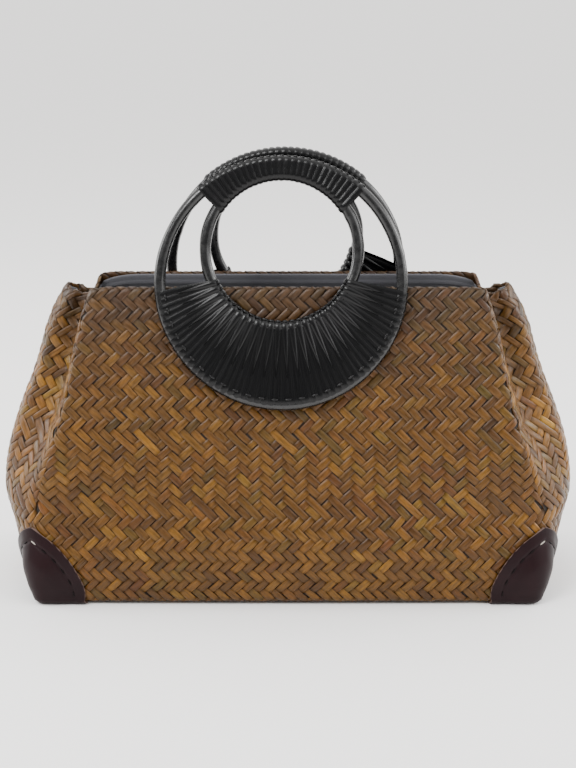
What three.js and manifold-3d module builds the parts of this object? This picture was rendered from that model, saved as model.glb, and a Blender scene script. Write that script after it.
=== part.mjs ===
// A straw basket bag with folded ends, a cloth lining, leather corners and two handles of paired cane rings.
// Millimetres, +Z up, the front panel faces -Y, and the bag rests on Z = 0.
import * as THREE from 'three'
import { mergeVertices } from 'three/addons/utils/BufferGeometryUtils.js'
import loadManifold from 'manifold-3d'

// Clearance kept between two pieces that touch on the real bag
const GAP = 0.3
const CORNER_GAP = 0.8 // wider, because the leather is stretched over a rounded edge

// Woven body
const BODY_LENGTH = 421 // across the two side bulges
const BODY_DEPTH = 151 // twice the front panel's depth where it starts to lean
const BASE_DEPTH = 146 // across both panels at the floor
const RIM_HEIGHT = 221.5 // ground to the top edge of the front panel
const RIM_DEPTH = 62 // across the mouth
const FOOT_SLOPE = 0.15 // how fast a panel swells outwards as it leaves the floor
const STRAW_WALL = 2.2
const PANEL_TABLE = {
  // Above the knee a panel is flat and leans inwards. knee is a share of RIM_HEIGHT, and kneeDepth, the
  // half depth there, a share of BODY_DEPTH / 2. The back panel stands steeper and swells lower down.
  front: { knee: 0.248, kneeDepth: 1 },
  back: { knee: 0.533, kneeDepth: 0.603 },
}

// Lining
const LINING_WALL = 0.8
const LINING_GAP = 0.4 // wider than GAP, because the cloth's edge cuts across the folded straw

// Leather corners
const LEATHER_WALL = 1.5
const CORNER_HEIGHT = 53
const CORNER_HALF_WIDTH = 36 // along the straw, from the corner's edge
const CORNER_NARROWING = 0.1 // share by which it is narrower at the floor
const CORNER_WIDEST = 0.3 // share of its height where the narrowing ends
const CORNER_FLAP = 12 // turned under the floor

// Handles
const CANE = 8 // thickness of a ring
const OUTER_RING_RADIUS = 84.25 // to the middle of the cane
const HAND_RING_RADIUS = 53.3
const WRAP_WALL = 1 // strip wound round the cane
const GRIP_OUTER_ANGLE = 41.5 // degrees each way from the top of the outer ring
const GRIP_HAND_ANGLE = 57 // degrees each way from the top of the hand ring
const HANDLE_TABLE = [
  // lift: outer ring's centre above the rim, up the panel; shift: sideways.
  // The other columns say how far the crescent reaches from the bottom of the outer or the hand ring,
  // in degrees, to the left and to the right as one faces that panel.
  { side: 'front', facing: 0, lift: 2.2, shift: -4.5,
    outerLeft: 86, outerRight: 86, handLeft: 67, handRight: 67 },
  { side: 'back', facing: 180, lift: 2.6, shift: 2.2,
    outerLeft: 89, outerRight: 85, handLeft: 79, handRight: 64 },
]

// The end of the body, from the panel's edge round to the side, in plan at several heights.
// rise is a share of RIM_HEIGHT, the X columns of BODY_LENGTH / 2, the Y columns of the panel's half depth
// there, and the radius columns of BODY_DEPTH. The ridge is the panel's upright edge, the tuck folds inwards
// behind it, the shoulder folds out again, and the peak is the middle of the side.
const END_TABLE = [
  { rise: 0.008, ridgeX: 0.843, ridgeY: 0.99, tuckX: 0.858, tuckY: 0.643, shoulderX: 0.866, shoulderY: 0.314,
    peakX: 0.871, ridgeRadius: 0.066, foldRadius: 0.2, peakRadius: 0.265 },
  { rise: 0.113, ridgeX: 0.865, ridgeY: 0.93, tuckX: 0.904, tuckY: 0.604, shoulderX: 0.929, shoulderY: 0.295,
    peakX: 0.938, ridgeRadius: 0.12, foldRadius: 0.2, peakRadius: 0.265 },
  { rise: 0.226, ridgeX: 0.869, ridgeY: 0.85, tuckX: 0.929, tuckY: 0.556, shoulderX: 0.96, shoulderY: 0.278,
    peakX: 0.979, ridgeRadius: 0.18, foldRadius: 0.185, peakRadius: 0.238 },
  { rise: 0.316, ridgeX: 0.855, ridgeY: 0.847, tuckX: 0.941, tuckY: 0.556, shoulderX: 0.982, shoulderY: 0.278,
    peakX: 1, ridgeRadius: 0.172, foldRadius: 0.16, peakRadius: 0.2 },
  { rise: 0.451, ridgeX: 0.812, ridgeY: 0.945, tuckX: 0.869, tuckY: 0.598, shoulderX: 0.964, shoulderY: 0.315,
    peakX: 0.98, ridgeRadius: 0.079, foldRadius: 0.106, peakRadius: 0.16 },
  { rise: 0.587, ridgeX: 0.765, ridgeY: 0.973, tuckX: 0.798, tuckY: 0.505, shoulderX: 0.912, shoulderY: 0.342,
    peakX: 0.934, ridgeRadius: 0.04, foldRadius: 0.066, peakRadius: 0.12 },
  { rise: 0.722, ridgeX: 0.732, ridgeY: 0.968, tuckX: 0.751, tuckY: 0.421, shoulderX: 0.85, shoulderY: 0.379,
    peakX: 0.877, ridgeRadius: 0.033, foldRadius: 0.046, peakRadius: 0.08 },
  { rise: 0.858, ridgeX: 0.703, ridgeY: 0.99, tuckX: 0.713, tuckY: 0.305, shoulderX: 0.803, shoulderY: 0.431,
    peakX: 0.833, ridgeRadius: 0.03, foldRadius: 0.036, peakRadius: 0.06 },
  { rise: 0.925, ridgeX: 0.684, ridgeY: 0.989, tuckX: 0.694, tuckY: 0.254, shoulderX: 0.771, shoulderY: 0.466,
    peakX: 0.804, ridgeRadius: 0.029, foldRadius: 0.033, peakRadius: 0.053 },
  { rise: 1, ridgeX: 0.657, ridgeY: 1, tuckX: 0.673, tuckY: 0.226, shoulderX: 0.727, shoulderY: 0.484,
    peakX: 0.76, ridgeRadius: 0.029, foldRadius: 0.03, peakRadius: 0.046 },
]

// The rim along the mouth: how far it dips, and how far below it the lining ends, as shares of RIM_HEIGHT
const RIM_TABLE = {
  panel: { dip: 0, hem: 0.009 },
  ridge: { dip: 0.004, hem: 0.045 },
  tuck: { dip: 0.038, hem: 0.045 },
  shoulder: { dip: 0.025, hem: 0.018 },
  peak: { dip: 0.011, hem: 0.014 },
}

// How many steps each shape is cut into
const BODY_LEVELS = [0.05, 0.12, 0.21, 0.31, 0.42, 0.54, 0.67, 0.8, 0.93, 1]
const PANEL_STEPS = [0, 0.4, 0.78, 0.965] // samples from the panel's middle to the start of its edge
const RIDGE_SAMPLES = 4
const FOLD_SAMPLES = 3
const CANE_SIDES = 8
const RING_STEPS = 36
const CORNER_COLUMNS = [-1, -0.64, -0.36, -0.16, 0, 0.16, 0.36, 0.64, 1]
const CORNER_ROWS = [0.12, 0.3, 0.5, 0.7, 0.86, 0.96, 0.985]
const GRIP_STATIONS = 9
const CRESCENT_STATIONS = 13
const CAPSULE_SAMPLES = 5
const SLIVER = 0.02 // thinner triangles than this are merged away after a cut

const floorUnder = LEATHER_WALL + GAP
const floorOver = floorUnder + STRAW_WALL
const rad = THREE.MathUtils.degToRad

const { Manifold, Mesh: ManifoldMesh } = await loadManifold().then((library) => {
  library.setup()
  return library
})

const straw = () => new THREE.MeshStandardMaterial({ color: 0x8a6336, roughness: 0.62, metalness: 0 })
const cloth = () => new THREE.MeshStandardMaterial({ color: 0x2e2d30, roughness: 0.9, metalness: 0 })
const leather = () => new THREE.MeshStandardMaterial({ color: 0x2a2122, roughness: 0.5, metalness: 0 })
const cane = () => new THREE.MeshStandardMaterial({ color: 0x1c1c1e, roughness: 0.25, metalness: 0 })
const grip = () => new THREE.MeshStandardMaterial({ color: 0x3a3a3c, roughness: 0.4, metalness: 0 })

// Reads one column of a table at any place between its rows, along a smooth curve through them.
function readColumn(table, key, column, at) {
  const last = table.length - 1
  let row = 0
  while (row < last - 1 && at > table[row + 1][key]) {
    row += 1
  }
  const slope = (index) => {
    const below = table[Math.max(index - 1, 0)]
    const above = table[Math.min(index + 1, last)]
    return (above[column] - below[column]) / (above[key] - below[key])
  }
  const from = table[row]
  const to = table[row + 1]
  const span = to[key] - from[key]
  const t = THREE.MathUtils.clamp((at - from[key]) / span, 0, 1)
  return hermite(from[column], slope(row) * span, to[column], slope(row + 1) * span, t)
}

function hermite(from, fromSlope, to, toSlope, t) {
  const late = t * t * (3 - 2 * t)
  const bend = t * (1 - t)
  return from * (1 - late) + to * late + bend * ((1 - t) * fromSlope - t * toSlope)
}

// The lean of a flat panel, as a slope, and its half depth at a height.
function panelSlope(side) {
  const { knee, kneeDepth } = PANEL_TABLE[side]
  return (kneeDepth * BODY_DEPTH - RIM_DEPTH) / 2 / (RIM_HEIGHT * (1 - knee))
}

function panelHalfDepth(side, z) {
  const kneeHeight = PANEL_TABLE[side].knee * RIM_HEIGHT
  const kneeHalfDepth = (PANEL_TABLE[side].kneeDepth * BODY_DEPTH) / 2
  const lean = panelSlope(side)
  if (z > kneeHeight) {
    return kneeHalfDepth - (z - kneeHeight) * lean
  }
  return hermite(BASE_DEPTH / 2, FOOT_SLOPE * kneeHeight, kneeHalfDepth, -lean * kneeHeight, z / kneeHeight)
}

// Rounds the corner between two straight runs. Each sample is a point with its outward normal.
function roundCorner(before, corner, after, radius, count, station) {
  const run = corner.clone().sub(before)
  const next = after.clone().sub(corner)
  const shortest = Math.min(run.length(), next.length())
  const turn = Math.atan2(run.cross(next), run.dot(next))
  const trim = Math.min(radius * Math.tan(Math.abs(turn) / 2), 0.48 * shortest)
  const arcRadius = trim / Math.tan(Math.abs(turn) / 2)
  const side = turn < 0 ? 1 : -1
  const direction = run.normalize()
  const start = corner.clone().addScaledVector(direction, -trim)
  const firstNormal = new THREE.Vector2(-direction.y, direction.x)
  const middle = start.clone().addScaledVector(firstNormal, -arcRadius * side)
  const samples = []
  for (let index = 0; index < count; index += 1) {
    const normal = firstNormal.clone().rotateAround(new THREE.Vector2(), (turn * index) / (count - 1))
    samples.push({ point: middle.clone().addScaledVector(normal, arcRadius * side), normal, station })
  }
  return samples
}

// A quarter of the body in plan, from the middle of the panel to the middle of the side.
function quarterPath(side, rise, panelSteps, ridgeSamples, foldSamples) {
  const read = (column) => readColumn(END_TABLE, 'rise', column, rise)
  const halfLength = BODY_LENGTH / 2
  const halfDepth = panelHalfDepth(side, rise * RIM_HEIGHT)
  const place = (name) => new THREE.Vector2(halfLength * read(`${name}X`), halfDepth * read(`${name}Y`))
  const ridge = place('ridge')
  const tuck = place('tuck')
  const shoulder = place('shoulder')
  const peak = new THREE.Vector2(halfLength * read('peakX'), 0)
  const beyond = new THREE.Vector2(shoulder.x, -shoulder.y)
  const bowEnd = new THREE.Vector2(0, ridge.y + 2 * (halfDepth - ridge.y))
  const radius = (name) => BODY_DEPTH * read(`${name}Radius`)
  const ridgeArc = roundCorner(bowEnd, ridge, tuck, radius('ridge'), ridgeSamples, 'ridge')
  const start = ridgeArc[0].point
  const bow = (halfDepth - start.y) / (start.x * start.x)
  const panel = panelSteps.map((share) => {
    const x = start.x * share
    const normal = new THREE.Vector2(2 * bow * x, 1).normalize()
    return { point: new THREE.Vector2(x, halfDepth - bow * x * x), normal, station: 'panel' }
  })
  return [
    ...panel,
    ...ridgeArc,
    ...roundCorner(ridge, tuck, shoulder, radius('fold'), foldSamples, 'tuck'),
    ...roundCorner(tuck, shoulder, peak, radius('fold'), foldSamples, 'shoulder'),
    ...roundCorner(shoulder, peak, beyond, radius('peak'), 2 * foldSamples - 1, 'peak').slice(0, foldSamples),
  ]
}

// A whole level of the body, anticlockwise from +X, set in from the outer face by a distance.
function bodyRing(rise, inset, height) {
  const quarter = (side) => quarterPath(side, rise, PANEL_STEPS, RIDGE_SAMPLES, FOLD_SAMPLES)
  const corner = (signX, signY) => quarter(signY > 0 ? 'back' : 'front').map((sample) => {
    const { point, normal, station } = sample
    const x = point.x - normal.x * inset
    const y = point.y - normal.y * inset
    const z = height ?? RIM_HEIGHT * (rise - RIM_TABLE[station].dip * rise ** 10)
    return new THREE.Vector3(x * signX, y * signY, z)
  })
  return [
    ...corner(1, 1).reverse(),
    ...corner(-1, 1).slice(1),
    ...corner(-1, -1).reverse().slice(1),
    ...corner(1, -1).slice(1, -1),
  ]
}

function meshGeometry(points, faces) {
  const geometry = new THREE.BufferGeometry()
  geometry.setAttribute('position', new THREE.Float32BufferAttribute(points.flatMap((p) => [p.x, p.y, p.z]), 3))
  geometry.setIndex(faces.flat())
  geometry.computeVertexNormals()
  return geometry
}

// Joins closed loops of equal length into one skin. Each end is closed by a fan, or as a strip across the loop.
// Each square is split from its lower left to its upper right, so that nested skins stay the same distance apart.
function skin(loops, closing) {
  const count = loops[0].length
  const points = loops.flat()
  const faces = []
  for (let level = 0; level < loops.length - 1; level += 1) {
    const rising = loops[level + 1][0].z >= loops[level][0].z
    for (let index = 0; index < count; index += 1) {
      const a = level * count + index
      const b = level * count + ((index + 1) % count)
      if (rising) {
        faces.push([a, b, b + count], [a, b + count, a + count])
      } else {
        faces.push([a, b, a + count], [b, b + count, a + count])
      }
    }
  }
  const top = (loops.length - 1) * count
  if (closing === 'strip') {
    for (let index = 0; index < count / 2 - 1; index += 1) {
      const other = count - 1 - index
      faces.push([index, other, index + 1], [index + 1, other, other - 1])
      faces.push([top + index, top + index + 1, top + other], [top + index + 1, top + other - 1, top + other])
    }
    return meshGeometry(points, faces)
  }
  const middleOf = (loop) => loop.reduce((sum, p) => sum.add(p), new THREE.Vector3()).divideScalar(count)
  points.push(middleOf(loops[0]), middleOf(loops[loops.length - 1]))
  for (let index = 0; index < count; index += 1) {
    const next = (index + 1) % count
    faces.push([points.length - 2, next, index], [points.length - 1, top + index, top + next])
  }
  return meshGeometry(points, faces)
}

// The straw body: outer face up to the rim, then the inner face down to the inside of the floor.
function basketGeometry() {
  const firstRise = floorUnder / RIM_HEIGHT
  const outer = [bodyRing(firstRise, 0, floorUnder), ...BODY_LEVELS.map((rise) => bodyRing(rise, 0))]
  const inner = BODY_LEVELS.map((rise) => bodyRing(rise, STRAW_WALL)).reverse()
  return skin([...outer, ...inner, bodyRing(floorOver / RIM_HEIGHT, STRAW_WALL, floorOver)], 'fan')
}

// The lining keeps to the inside of the straw and ends below the rim.
function liningGeometry() {
  const outside = STRAW_WALL + LINING_GAP
  const inside = outside + LINING_WALL
  const under = floorOver + GAP
  const over = under + LINING_WALL
  const levels = BODY_LEVELS.slice(0, -1)
  const lastRise = levels[levels.length - 1]
  const stations = ringStations()
  const topLoop = (inset) => {
    const below = bodyRing(lastRise, inset)
    const rim = bodyRing(1, inset)
    return below.map((point, index) => {
      const share = 1 - RIM_TABLE[stations[index]].hem / (1 - lastRise)
      return point.clone().lerp(rim[index], share)
    })
  }
  const face = (inset, height) => [
    bodyRing(height / RIM_HEIGHT, inset, height),
    ...levels.map((rise) => bodyRing(rise, inset)),
    topLoop(inset),
  ]
  return skin([...face(outside, under), ...face(inside, over).reverse()], 'fan')
}

function ringStations() {
  const samples = quarterPath('front', 1, PANEL_STEPS, RIDGE_SAMPLES, FOLD_SAMPLES)
  const quarter = samples.map((sample) => sample.station)
  const back = [...quarter].reverse()
  return [...back, ...quarter.slice(1), ...back.slice(1), ...quarter.slice(1, -1)]
}

// A point on the body near an upright edge: along is measured on the straw, towards the side when positive.
function pointByEdge(side, rise, along, outward) {
  const panelShares = [0, 0.5, 0.7, 0.8, 0.85, 0.9, 0.95]
  const ridgeSamples = 17
  const fine = quarterPath(side, rise, panelShares, ridgeSamples, 9)
  let index = panelShares.length + (ridgeSamples - 1) / 2
  let left = Math.abs(along)
  const step = Math.sign(along) || 1
  let length = fine[index].point.distanceTo(fine[index + step].point)
  while (left > length) {
    left -= length
    index += step
    length = fine[index].point.distanceTo(fine[index + step].point)
  }
  const from = fine[index]
  const to = fine[index + step]
  const point = from.point.clone().lerp(to.point, left / length)
  const normal = from.normal.clone().lerp(to.normal, left / length).normalize()
  return point.addScaledVector(normal, outward)
}

// The edge of the flap under the floor: one even curve between the two ends of the corner.
function flapEdge(side, wide) {
  const rise = floorUnder / RIM_HEIGHT
  const from = pointByEdge(side, rise, -wide, -CORNER_FLAP)
  const to = pointByEdge(side, rise, wide, -CORNER_FLAP)
  const curve = new THREE.QuadraticBezierCurve(from, new THREE.Vector2(to.x, from.y), to)
  return CORNER_COLUMNS.map((share) => curve.getPoint((share + 1) / 2))
}

// A leather corner: a flap under the floor, then up both faces to a rounded top.
function leatherCornerGeometry(signX, signY) {
  const side = signY > 0 ? 'back' : 'front'
  const halfWidth = (share) => {
    const foot = Math.max(0, 1 - share / CORNER_WIDEST)
    return CORNER_HALF_WIDTH * (1 - share ** 2.5) ** (1 / 1.2) * (1 - CORNER_NARROWING * foot * foot)
  }
  const row = (height, width, outside, inside, outsideZ, insideZ) => {
    const rise = Math.max(height, floorUnder) / RIM_HEIGHT
    const line = (outward, z) => CORNER_COLUMNS.map((share) => {
      const spot = pointByEdge(side, rise, share * width, outward)
      return new THREE.Vector3(spot.x * signX, spot.y * signY, z)
    })
    const loop = [...line(outside, outsideZ), ...line(inside, insideZ).reverse()]
    return signX * signY > 0 ? loop.reverse() : loop
  }
  const outer = CORNER_GAP + LEATHER_WALL
  const wide = halfWidth(0)
  const flapLine = flapEdge(side, wide)
  const flapLoop = [0, LEATHER_WALL].flatMap((z, index) => {
    const line = flapLine.map((spot) => new THREE.Vector3(spot.x * signX, spot.y * signY, z))
    return index === 0 ? line : line.reverse()
  })
  const loops = [
    signX * signY > 0 ? flapLoop.reverse() : flapLoop,
    row(0, wide, outer, CORNER_GAP, 0, LEATHER_WALL),
    ...CORNER_ROWS.map((share) => {
      const z = share * CORNER_HEIGHT
      return row(z, halfWidth(share), outer, CORNER_GAP, z, z)
    }),
  ]
  return skin(loops, 'strip')
}

// A ring of cane lies in the handle's own XZ plane, with the outer ring's centre at its origin.
const handRingLift = OUTER_RING_RADIUS - HAND_RING_RADIUS - CANE - GAP

function caneRing(radius, lift, extra) {
  const geometry = new THREE.TorusGeometry(radius, CANE / 2 + extra, CANE_SIDES, RING_STEPS)
  return geometry.rotateX(Math.PI / 2).translate(0, 0, lift)
}

function onRing(radius, lift, angle) {
  return new THREE.Vector3(radius * Math.sin(angle), 0, lift + radius * Math.cos(angle))
}

// Strip wound round both rings at once, from one place on each ring to another. Each station is a rounded
// section that holds both canes. The angles are in degrees, clockwise from the top of a ring.
function woundGeometry(outerFrom, outerTo, handFrom, handTo, stations) {
  const radius = CANE / 2 + WRAP_WALL
  const loops = []
  for (let index = 0; index < stations; index += 1) {
    const share = index / (stations - 1)
    const outer = onRing(OUTER_RING_RADIUS, 0, rad(THREE.MathUtils.lerp(outerFrom, outerTo, share)))
    const hand = onRing(HAND_RING_RADIUS, handRingLift, rad(THREE.MathUtils.lerp(handFrom, handTo, share)))
    const across = outer.clone().sub(hand).normalize()
    const normal = new THREE.Vector3(0, 1, 0)
    const loop = []
    for (const [centre, start] of [[outer, 0], [hand, Math.PI]]) {
      for (let step = 0; step < CAPSULE_SAMPLES; step += 1) {
        const angle = start + Math.PI * (step / (CAPSULE_SAMPLES - 1) - 0.5)
        const offset = across.clone().multiplyScalar(radius * Math.cos(angle))
        loop.push(centre.clone().add(offset).addScaledVector(normal, radius * Math.sin(angle)))
      }
    }
    loops.push(loop.reverse())
  }
  const rings = [caneRing(OUTER_RING_RADIUS, 0, GAP), caneRing(HAND_RING_RADIUS, handRingLift, GAP)]
  let solid = toManifold(skin(loops, 'fan'))
  for (const ring of rings) {
    solid = solid.subtract(toManifold(ring))
  }
  return fromManifold(solid.simplify(SLIVER))
}

function toManifold(geometry) {
  const bare = geometry.clone()
  bare.deleteAttribute('normal')
  bare.deleteAttribute('uv')
  const merged = mergeVertices(bare, 1e-4)
  const mesh = new ManifoldMesh({
    numProp: 3,
    vertProperties: new Float32Array(merged.attributes.position.array),
    triVerts: new Uint32Array(merged.index.array),
  })
  mesh.merge()
  return new Manifold(mesh)
}

function fromManifold(solid) {
  const mesh = solid.getMesh()
  const geometry = new THREE.BufferGeometry()
  geometry.setAttribute('position', new THREE.Float32BufferAttribute(mesh.vertProperties, 3))
  geometry.setIndex(new THREE.BufferAttribute(mesh.triVerts, 1))
  geometry.computeVertexNormals()
  return geometry
}

function piece(name, geometry, material) {
  const mesh = new THREE.Mesh(geometry, material)
  mesh.name = name
  return mesh
}

// One handle, laid against its panel. Its group turns with the panel's lean and stands clear by the gap.
function handle({ side, facing, lift, shift, outerLeft, outerRight, handLeft, handRight }) {
  const lean = Math.atan(panelSlope(side))
  const standOff = GAP + WRAP_WALL + CANE / 2
  const gripGeometry = woundGeometry(
    -GRIP_OUTER_ANGLE, GRIP_OUTER_ANGLE, -GRIP_HAND_ANGLE, GRIP_HAND_ANGLE, GRIP_STATIONS)
  const crescentGeometry = woundGeometry(
    180 - outerRight, 180 + outerLeft, 180 - handRight, 180 + handLeft, CRESCENT_STATIONS)
  const rings = new THREE.Group()
  rings.position.set(shift, -standOff, lift)
  rings.add(
    piece(`${side}_outer_ring`, caneRing(OUTER_RING_RADIUS, 0, 0), cane()),
    piece(`${side}_hand_ring`, caneRing(HAND_RING_RADIUS, handRingLift, 0), cane()),
    piece(`${side}_grip_wrap`, gripGeometry, grip()),
    piece(`${side}_crescent_wrap`, crescentGeometry, cane()),
  )
  const panel = new THREE.Group()
  panel.position.set(0, -RIM_DEPTH / 2, RIM_HEIGHT)
  panel.rotation.x = -lean
  panel.add(rings)
  const facingGroup = new THREE.Group()
  facingGroup.rotation.z = rad(facing)
  facingGroup.add(panel)
  return facingGroup
}

const bag = new THREE.Group()
bag.add(piece('basket', basketGeometry(), straw()))
bag.add(piece('lining', liningGeometry(), cloth()))
for (const [name, signX, signY] of [
  ['corner_front_left', -1, -1],
  ['corner_front_right', 1, -1],
  ['corner_back_left', -1, 1],
  ['corner_back_right', 1, 1],
]) {
  bag.add(piece(name, leatherCornerGeometry(signX, signY), leather()))
}
for (const row of HANDLE_TABLE) {
  bag.add(handle(row))
}

export default bag
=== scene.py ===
import math

import bpy
import numpy as np
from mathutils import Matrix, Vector


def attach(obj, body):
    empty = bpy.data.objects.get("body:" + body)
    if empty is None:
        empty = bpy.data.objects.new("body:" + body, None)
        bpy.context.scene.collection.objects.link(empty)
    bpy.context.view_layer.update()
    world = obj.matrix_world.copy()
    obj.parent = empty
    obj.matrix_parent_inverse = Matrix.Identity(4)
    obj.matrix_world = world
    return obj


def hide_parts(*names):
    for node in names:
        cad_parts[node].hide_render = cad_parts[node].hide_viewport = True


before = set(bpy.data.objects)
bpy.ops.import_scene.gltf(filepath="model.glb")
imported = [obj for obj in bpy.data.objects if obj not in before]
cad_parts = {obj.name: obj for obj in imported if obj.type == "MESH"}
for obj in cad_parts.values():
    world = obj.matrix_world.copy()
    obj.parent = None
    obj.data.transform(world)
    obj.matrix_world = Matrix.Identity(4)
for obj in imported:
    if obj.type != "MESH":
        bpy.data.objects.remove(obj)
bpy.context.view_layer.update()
bpy.ops.object.select_all(action="DESELECT")


# Woven body: flat plant strips about 5 mm wide, plaited on the slant, each over two and under two.
# Bands of strips that lean left and right lie level, with an upright pattern across the middle of the bag.
# The ends are folded inwards, and at the mouth the strips are turned over the edge and back down inside.

RIM_HEIGHT = 221.5
BODY_LENGTH = 421.0
BODY_DEPTH = 151.0
BASE_DEPTH = 146.0
RIM_DEPTH = 62.0
FOOT_SLOPE = 0.15
STRAW_WALL = 2.2
KNEE = {"front": (0.248, 1.0), "back": (0.533, 0.603)}
# rise, ridge x, ridge y, tuck x, tuck y, shoulder x, shoulder y, peak x, ridge, fold and peak radius
END_ROWS = np.array([
    (0.008, 0.843, 0.990, 0.858, 0.643, 0.866, 0.314, 0.871, 0.025, 0.200, 0.265),
    (0.113, 0.865, 0.930, 0.904, 0.604, 0.929, 0.295, 0.938, 0.100, 0.200, 0.265),
    (0.226, 0.869, 0.850, 0.929, 0.556, 0.960, 0.278, 0.979, 0.180, 0.185, 0.238),
    (0.316, 0.855, 0.847, 0.941, 0.556, 0.982, 0.278, 1.000, 0.172, 0.160, 0.200),
    (0.451, 0.812, 0.945, 0.869, 0.598, 0.964, 0.315, 0.980, 0.079, 0.106, 0.160),
    (0.587, 0.765, 0.973, 0.798, 0.505, 0.912, 0.342, 0.934, 0.040, 0.066, 0.120),
    (0.722, 0.732, 0.968, 0.751, 0.421, 0.850, 0.379, 0.877, 0.033, 0.046, 0.080),
    (0.858, 0.703, 0.990, 0.713, 0.305, 0.803, 0.431, 0.833, 0.030, 0.036, 0.060),
    (0.925, 0.684, 0.989, 0.694, 0.254, 0.771, 0.466, 0.804, 0.029, 0.033, 0.053),
    (1.000, 0.657, 1.000, 0.673, 0.226, 0.727, 0.484, 0.760, 0.029, 0.030, 0.046),
])
RIM_DIP = {"panel": 0.0, "ridge": 0.004, "tuck": 0.038, "shoulder": 0.025, "peak": 0.011}
PANEL_SHARES = np.linspace(0, 1, 25)[:-1]
ARC_COUNT = 9


def bend_between(start, start_slope, end, end_slope, t):
    late = t * t * (3 - 2 * t)
    return start * (1 - late) + end * late + t * (1 - t) * ((1 - t) * start_slope - t * end_slope)


def end_shape(rise):
    """One row of the end's shape at any height, along a smooth curve through the rows above."""
    rises = END_ROWS[:, 0]
    row = int(np.clip(np.searchsorted(rises, rise, side="right") - 1, 0, len(rises) - 2))
    last = len(rises) - 1

    def slope(index):
        below, above = max(index - 1, 0), min(index + 1, last)
        return (END_ROWS[above] - END_ROWS[below]) / (rises[above] - rises[below])

    span = rises[row + 1] - rises[row]
    t = min(max((rise - rises[row]) / span, 0), 1)
    return bend_between(END_ROWS[row], slope(row) * span, END_ROWS[row + 1], slope(row + 1) * span, t)


def panel_lean(side):
    knee, share = KNEE[side]
    return (share * BODY_DEPTH - RIM_DEPTH) / 2 / (RIM_HEIGHT * (1 - knee))


def half_depth(side, z):
    knee, share = KNEE[side]
    height = knee * RIM_HEIGHT
    depth = share * BODY_DEPTH / 2
    lean = panel_lean(side)
    if z > height:
        return depth - (z - height) * lean
    return bend_between(BASE_DEPTH / 2, FOOT_SLOPE * height, depth, -lean * height, z / height)


def unit(vector):
    return vector / np.linalg.norm(vector)


def round_corner(before, corner, after, radius, count):
    """Points and outward normals of the arc that rounds a corner of the plan."""
    run, onward = corner - before, after - corner
    shortest = min(np.linalg.norm(run), np.linalg.norm(onward))
    turn = math.atan2(run[0] * onward[1] - run[1] * onward[0], run @ onward)
    trim = min(radius * math.tan(abs(turn) / 2), 0.48 * shortest)
    arc_radius = trim / math.tan(abs(turn) / 2)
    side = 1 if turn < 0 else -1
    direction = unit(run)
    normal = np.array([-direction[1], direction[0]])
    middle = corner - direction * trim - normal * arc_radius * side
    found = []
    for angle in turn * np.arange(count) / (count - 1):
        c, s = math.cos(angle), math.sin(angle)
        turned = np.array([normal[0] * c - normal[1] * s, normal[0] * s + normal[1] * c])
        found.append((middle + turned * arc_radius * side, turned))
    return found


def quarter_plan(side, rise):
    """A quarter of the body in plan, from the middle of the panel to the middle of the side."""
    (_, ridge_x, ridge_y, tuck_x, tuck_y, shoulder_x, shoulder_y, peak_x,
     ridge_r, fold_r, peak_r) = end_shape(rise)
    depth = half_depth(side, rise * RIM_HEIGHT)
    half = BODY_LENGTH / 2
    ridge = np.array([half * ridge_x, depth * ridge_y])
    tuck = np.array([half * tuck_x, depth * tuck_y])
    shoulder = np.array([half * shoulder_x, depth * shoulder_y])
    peak = np.array([half * peak_x, 0.0])
    beyond = shoulder * (1, -1)
    bow_end = np.array([0.0, ridge[1] + 2 * (depth - ridge[1])])
    ridge_arc = round_corner(bow_end, ridge, tuck, BODY_DEPTH * ridge_r, ARC_COUNT)
    start = ridge_arc[0][0]
    bow = (depth - start[1]) / start[0] ** 2
    found = []
    for share in PANEL_SHARES:
        x = start[0] * share
        found.append((np.array([x, depth - bow * x * x]), unit(np.array([2 * bow * x, 1.0]))))
    found += ridge_arc
    found += round_corner(ridge, tuck, shoulder, BODY_DEPTH * fold_r, ARC_COUNT)
    found += round_corner(tuck, shoulder, peak, BODY_DEPTH * fold_r, ARC_COUNT)
    found += round_corner(shoulder, peak, beyond, BODY_DEPTH * peak_r, 2 * ARC_COUNT - 1)[:ARC_COUNT]
    return np.array([p for p, _ in found]), np.array([n for _, n in found])


STATIONS = (["panel"] * len(PANEL_SHARES) + ["ridge"] * ARC_COUNT + ["tuck"] * ARC_COUNT
            + ["shoulder"] * ARC_COUNT + ["peak"] * ARC_COUNT)
DIPS = np.array([RIM_DIP[name] for name in STATIONS])
RIDGE_AT = len(PANEL_SHARES) + ARC_COUNT // 2
RIM_DIP_POWER = 10


def level_line(side, rise, inset, z):
    """A quarter of one level in space, with X and Y both outwards, set in from the outer face."""
    points, normals = quarter_plan(side, rise)
    flat = points - normals * inset
    return np.column_stack([flat, z - RIM_HEIGHT * DIPS * max(rise, 0) ** RIM_DIP_POWER])


EDGE_RADIUS = 1.1
FOOT_RADIUS = 2.0
FOOT_Z = 2.3
HEM = 15.0
FIRST_WAY = 2.4
UNDER_INSETS = (16.0, 12.0, 8.0, 5.0, 3.0)
UNDER_RISE = 0.008


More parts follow.
